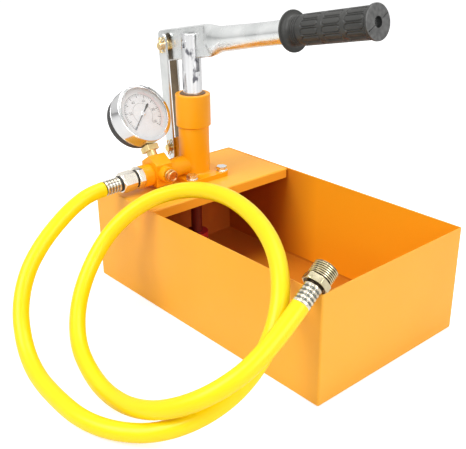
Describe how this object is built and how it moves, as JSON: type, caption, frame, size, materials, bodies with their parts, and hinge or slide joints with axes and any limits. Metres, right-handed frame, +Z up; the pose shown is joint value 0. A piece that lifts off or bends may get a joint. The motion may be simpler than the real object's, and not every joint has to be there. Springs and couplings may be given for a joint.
{
  "type": "hydrostatic test pump",
  "caption": "Lever-operated test pump on an open water tank, with pressure gauge, release screw, yellow pressure hose and threaded end fitting.",
  "frame": {"origin": "centre of the tank's base, on the surface that the tank stands on", "axes": "+X along the tank from the pump to its open end, +Y away from the hose, +Z up"},
  "size_m": [0.3365, 0.3426, 0.3047],
  "materials": {
    "tank_paint": "powder coat, satin",
    "casting_paint": "gloss paint over casting",
    "bright_zinc": "bright zinc plate",
    "chrome": "ground and chromed",
    "yellow_zinc": "yellow zinc plate",
    "brass": "machined",
    "ferrule_steel": "zinc plate",
    "seal_rubber": "matte",
    "grip_rubber": "matte moulded",
    "hose_rubber": "smooth PVC cover",
    "case_black": "black enamel",
    "clear_glass": "clear",
    "dial_white": "matte white print",
    "suction_red": "moulded"
  },
  "bodies": {
    "pump": {"tank_shell": "tank_paint", "deck_plate": "tank_paint", "pump_body": "casting_paint", "base_bolts": "bright_zinc", "base_nuts": "bright_zinc", "rod_seal": "seal_rubber", "valve_tee": "casting_paint", "gauge_stem": "brass", "gauge_case": "case_black", "gauge_bezel": "chrome", "gauge_window": "clear_glass", "gauge_dial": "dial_white", "bourdon_tube": "brass", "gauge_movement": "brass", "hose_adapter": "yellow_zinc", "coupling_nut": "bright_zinc", "hose_nipple": "bright_zinc", "ferrule_pump": "ferrule_steel", "hose": "hose_rubber", "ferrule_end": "ferrule_steel", "end_fitting": "ferrule_steel", "suction_nipple": "suction_red", "suction_pipe": "suction_red", "suction_strainer": "suction_red"},
    "links": {"strap_near": "bright_zinc", "strap_far": "bright_zinc", "rear_pin": "yellow_zinc", "rear_split_pin": "yellow_zinc", "rear_spacers": "yellow_zinc", "foot_pin": "yellow_zinc", "foot_split_pin": "yellow_zinc"},
    "lever": {"lever_arm": "bright_zinc", "grip": "grip_rubber"},
    "plunger_rod": {"plunger": "chrome", "plunger_seal": "seal_rubber", "plunger_pin": "yellow_zinc", "plunger_split_pin": "yellow_zinc"},
    "pointer": {"gauge_pointer": "case_black"},
    "release": {"release_screw": "bright_zinc"}
  },
  "joints": [
    {"name": "link_swing", "type": "hinge", "parent": "pump", "child": "links", "pos_m": [-0.146, 0.0035, 0.128], "axis": [0, 1, 0], "range_deg": [-2, 2]},
    {"name": "lever_pivot", "type": "hinge", "parent": "links", "child": "lever", "pos_m": [-0.15224, 0.0035, 0.23676], "axis": [0, -1, 0], "range_deg": [-28, 25]},
    {"name": "plunger_slide", "type": "slide", "parent": "pump", "child": "plunger_rod", "axis": [0, 0, 1], "range_m": [-0.0195, 0.0175]},
    {"name": "pointer_turn", "type": "hinge", "parent": "pump", "child": "pointer", "pos_m": [-0.14277, -0.0459, 0.17024], "axis": [-0.8371, -0.061, -0.5436], "range_deg": [0, 270], "stiffness_Nm_per_rad": 0.002, "springref_deg": -5.73},
    {"name": "release_turn", "type": "hinge", "parent": "pump", "child": "release", "pos_m": [-0.1003, -0.0459, 0.121], "axis": [1, 0, 0], "range_deg": [0, 360]}
  ],
  "couplings": [
    {"joint": "link_swing", "follows": "lever_pivot", "ratio": 0.0613},
    {"joint": "plunger_slide", "follows": "lever_pivot", "m_per_rad": 0.03928}
  ]
}
